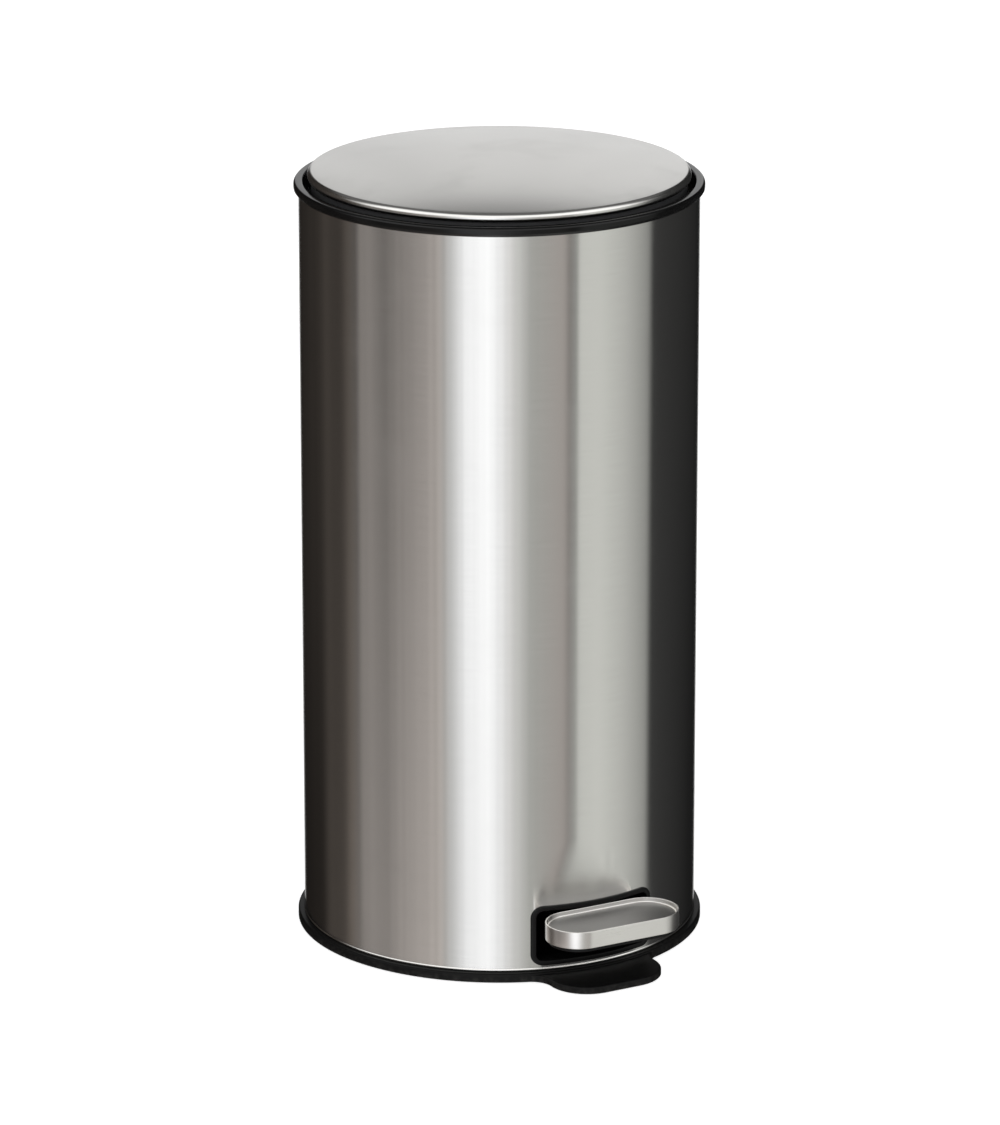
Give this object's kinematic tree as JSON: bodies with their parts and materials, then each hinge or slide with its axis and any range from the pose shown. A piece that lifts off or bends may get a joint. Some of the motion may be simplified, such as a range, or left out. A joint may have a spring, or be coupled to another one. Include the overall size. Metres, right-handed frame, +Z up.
{
  "type": "pedal trash can",
  "caption": "Round stainless pedal bin with a hinged crowned lid, black collar and base, front pedal on a lever and push rod, and a lift-out inner bucket.",
  "frame": {"origin": "on the floor, at the centre of the base and on the body's axis", "axes": "+Z up; the pedal faces -Y and the lid's hinge is at +Y; X runs along the hinge"},
  "size_m": [0.31, 0.3609, 0.603],
  "materials": {
    "steel_body": "polished stainless, faint vertical grain",
    "steel_lid": "satin stainless",
    "steel_pedal": "polished walls, brushed floor",
    "gloss_black": "high gloss moulded",
    "black_plastic": "satin moulded",
    "grey_plastic": "natural acetal",
    "bucket_plastic": "fine texture",
    "rubber": "matte",
    "zinc_steel": "zinc plated",
    "bright_steel": "bright drawn wire"
  },
  "bodies": {
    "casing": {"body_shell": "steel_body", "top_collar": "gloss_black", "base_pan": "black_plastic", "rubber_feet": "rubber", "pedal_bezel": "black_plastic", "collar_bumpers": "rubber", "hinge_cover": "black_plastic", "hinge_cover_screws": "zinc_steel", "lid_hinge_pin": "bright_steel", "lever_bracket": "zinc_steel", "lever_pin": "bright_steel", "bracket_screws": "zinc_steel", "rod_guide_lower": "grey_plastic", "rod_guide_upper": "grey_plastic", "damper_bracket": "zinc_steel", "damper_cylinder": "grey_plastic", "damper_cap": "black_plastic"},
    "lid": {"lid_dome": "steel_lid", "lid_liner": "black_plastic", "lid_hinge_arm": "zinc_steel", "crank_pin": "bright_steel", "lid_screws": "zinc_steel"},
    "pedal": {"pedal_cap": "steel_pedal", "pedal_carrier": "black_plastic", "pedal_screws": "zinc_steel", "pedal_lever": "zinc_steel", "lever_bush": "grey_plastic"},
    "rod": {"push_rod": "zinc_steel", "rod_foot": "grey_plastic", "rod_end": "grey_plastic", "damper_piston": "grey_plastic"},
    "bucket": {"inner_bucket": "bucket_plastic"},
    "bail": {"bail_handle": "bright_steel", "bail_grip": "black_plastic"}
  },
  "joints": [
    {"name": "lid_hinge", "type": "hinge", "parent": "casing", "child": "lid", "pos_m": [0, 0.15, 0.576], "axis": [-1, 0, 0], "range_deg": [0, 80]},
    {"name": "pedal_press", "type": "hinge", "parent": "casing", "child": "pedal", "pos_m": [0, 0, 0.025], "axis": [1, 0, 0], "range_deg": [0, 7.64]},
    {"name": "rod_slide", "type": "slide", "parent": "casing", "child": "rod", "axis": [0, 0, 1], "range_m": [0, 0.01847]},
    {"name": "bucket_lift", "type": "slide", "parent": "casing", "child": "bucket", "axis": [0, 0, 1], "range_m": [0, 0.005]},
    {"name": "bail_swing", "type": "hinge", "parent": "bucket", "child": "bail", "pos_m": [0, -0.004, 0.562], "axis": [-1, 0, 0], "range_deg": [0, 6]}
  ],
  "couplings": [
    {"joint": "pedal_press", "follows": "lid_hinge", "ratio": 0.0954},
    {"joint": "rod_slide", "follows": "lid_hinge", "m_per_rad": 0.013221}
  ]
}
